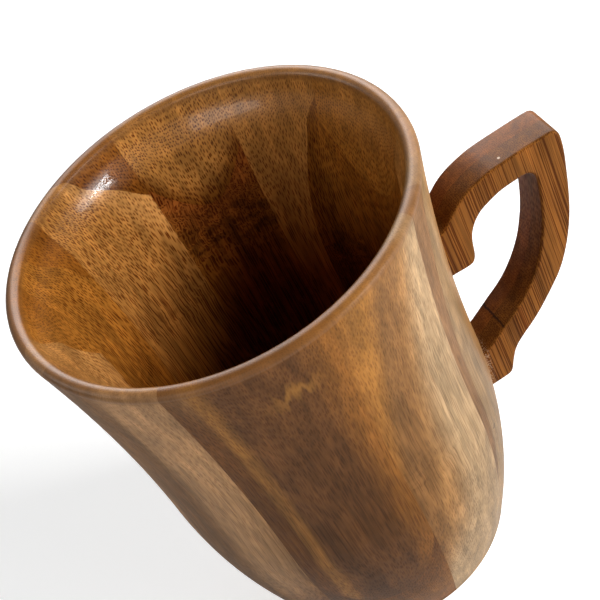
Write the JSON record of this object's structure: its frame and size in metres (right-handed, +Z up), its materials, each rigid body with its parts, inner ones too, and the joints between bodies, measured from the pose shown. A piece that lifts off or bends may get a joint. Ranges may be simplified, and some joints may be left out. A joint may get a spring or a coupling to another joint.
{
  "type": "bamboo cup",
  "caption": "Drinking cup turned from a tube of glued bamboo staves, flared at the lip, with a flat two-ply handle bent like a hook.",
  "frame": {"origin": "centre of the foot, on the surface that the cup stands on", "axes": "+Z up along the cup's axis, +X towards the handle, -Y towards the picture's viewer"},
  "size_m": [0.1138, 0.0858, 0.108],
  "materials": {
    "wall_bamboo": "varnished, semi-gloss",
    "floor_bamboo": "varnished, semi-gloss",
    "handle_bamboo": "varnished, satin",
    "dowel_bamboo": "plain"
  },
  "bodies": {
    "root": {"stave_01_outer": "wall_bamboo", "stave_01_inner": "wall_bamboo", "stave_02_outer": "wall_bamboo", "stave_02_inner": "wall_bamboo", "stave_03_outer": "wall_bamboo", "stave_03_inner": "wall_bamboo", "stave_04_outer": "wall_bamboo", "stave_04_inner": "wall_bamboo", "stave_05_outer": "wall_bamboo", "stave_05_inner": "wall_bamboo", "stave_06_outer": "wall_bamboo", "stave_06_inner": "wall_bamboo", "stave_07_outer": "wall_bamboo", "stave_07_inner": "wall_bamboo", "stave_08_outer": "wall_bamboo", "stave_08_inner": "wall_bamboo", "stave_09_outer": "wall_bamboo", "stave_09_inner": "wall_bamboo", "stave_10_outer": "wall_bamboo", "stave_10_inner": "wall_bamboo", "floor_strip_left": "floor_bamboo", "floor_strip_middle": "floor_bamboo", "floor_strip_right": "floor_bamboo", "handle_front_upper_root": "handle_bamboo", "handle_front_lower_root": "handle_bamboo", "handle_front_upper_arm": "handle_bamboo", "handle_front_lower_arm": "handle_bamboo", "handle_front_bend": "handle_bamboo", "handle_front_outer_edge": "handle_bamboo", "handle_back_upper_root": "handle_bamboo", "handle_back_lower_root": "handle_bamboo", "handle_back_upper_arm": "handle_bamboo", "handle_back_lower_arm": "handle_bamboo", "handle_back_bend": "handle_bamboo", "upper_dowel": "dowel_bamboo", "lower_dowel": "dowel_bamboo"}
  },
  "joints": []
}
